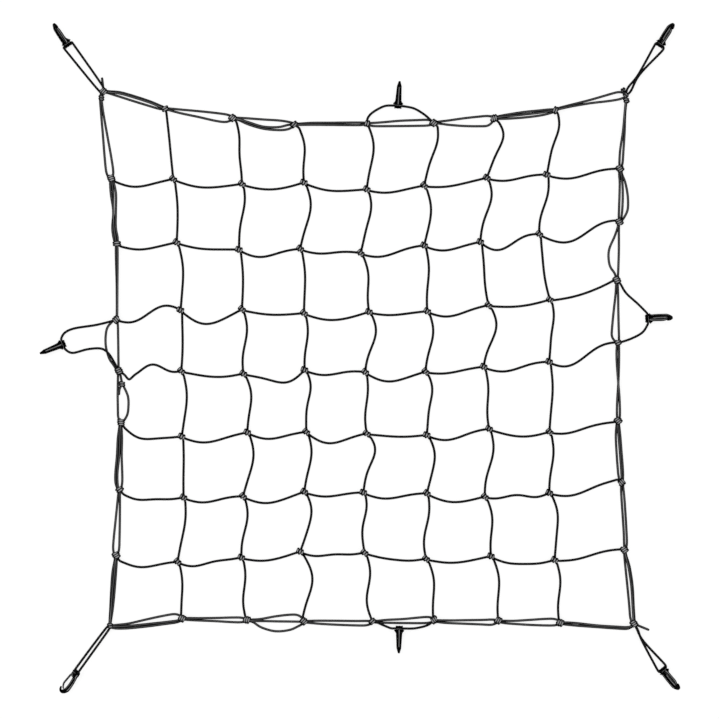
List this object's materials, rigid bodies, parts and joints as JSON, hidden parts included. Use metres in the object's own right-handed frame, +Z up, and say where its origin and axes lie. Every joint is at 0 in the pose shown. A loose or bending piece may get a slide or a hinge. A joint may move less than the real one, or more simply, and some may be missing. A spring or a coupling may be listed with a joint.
{
  "type": "cargo net",
  "caption": "Square cargo net knotted from black elastic cord, laid flat, with a doubled border cord and a black nylon snap hook on a cord loop at each corner and at the middle of each side.",
  "frame": {"origin": "on the surface that the net lies on, under the middle of the box round the whole layout", "axes": "+Z up from the surface, +Y towards the top side of the net, +X towards its right side"},
  "size_m": [1.1138, 1.1665, 0.0229],
  "materials": {
    "cord": "braided polyester cover over an elastic core, black, slightly glossy",
    "border_cord": "braided polyester cover over an elastic core, black, slightly glossy",
    "nylon": "moulded black nylon, satin"
  },
  "bodies": {
    "root": {"net": "cord", "border": "border_cord", "loop_top": "border_cord", "loop_right": "border_cord", "loop_bottom": "border_cord", "loop_left": "border_cord", "loop_top_left": "border_cord", "loop_top_right": "border_cord", "loop_bottom_right": "border_cord", "loop_bottom_left": "border_cord", "hook_top": "nylon", "hook_right": "nylon", "hook_bottom": "nylon", "hook_left": "nylon", "hook_top_left": "nylon", "hook_top_right": "nylon", "hook_bottom_right": "nylon", "hook_bottom_left": "nylon"}
  },
  "joints": []
}
